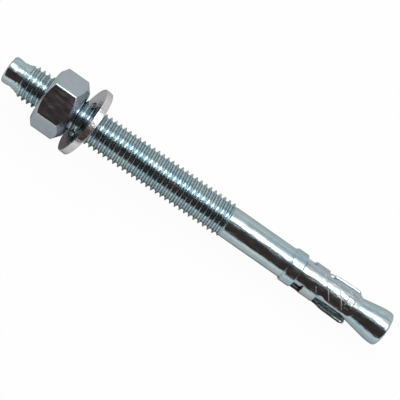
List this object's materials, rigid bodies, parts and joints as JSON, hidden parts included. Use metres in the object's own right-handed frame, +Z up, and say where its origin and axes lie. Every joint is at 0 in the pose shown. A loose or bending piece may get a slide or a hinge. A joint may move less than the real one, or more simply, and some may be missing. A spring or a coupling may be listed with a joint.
{
  "type": "wedge anchor",
  "caption": "Through-bolt wedge anchor: threaded stud with a drive pin, hex nut, washer and a slotted expansion sleeve held on the neck before a flared cone.",
  "frame": {"origin": "on the surface the anchor lies on, under the middle of its box", "axes": "+X from the struck end of the drive pin to the cone, +Z up; the stud's axis tips down towards the cone by 2.9 degrees, because the washer is larger than the cone"},
  "size_m": [0.1196, 0.02, 0.0196],
  "materials": {
    "stud_zinc": "bright zinc plate over rolled steel",
    "nut_zinc": "bright zinc plate, smooth flats",
    "washer_zinc": "bright zinc plate with a faint iridescent passivation",
    "sleeve_zinc": "bright zinc plate over stamped sheet"
  },
  "bodies": {
    "stud": {"stud": "stud_zinc"},
    "washer": {"washer": "washer_zinc"},
    "nut": {"nut": "nut_zinc"},
    "sleeve": {"sleeve": "sleeve_zinc"}
  },
  "joints": [
    {"name": "washer_travel", "type": "slide", "parent": "stud", "child": "washer", "axis": [0.9987, 0, -0.0507], "range_m": [-0.0135, 0.0465]},
    {"name": "nut_spin", "type": "hinge", "parent": "washer", "child": "nut", "pos_m": [-0.04337, 0, 0.01018], "axis": [0.9987, 0, -0.0507], "range_deg": [-3240, 11160]},
    {"name": "sleeve_spin", "type": "hinge", "parent": "stud", "child": "sleeve", "pos_m": [0.03521, 0, 0.00618], "axis": [0.9987, 0, -0.0507], "continuous": true}
  ],
  "couplings": [
    {"joint": "nut_spin", "follows": "washer_travel", "rad_per_m": 4188.8}
  ]
}
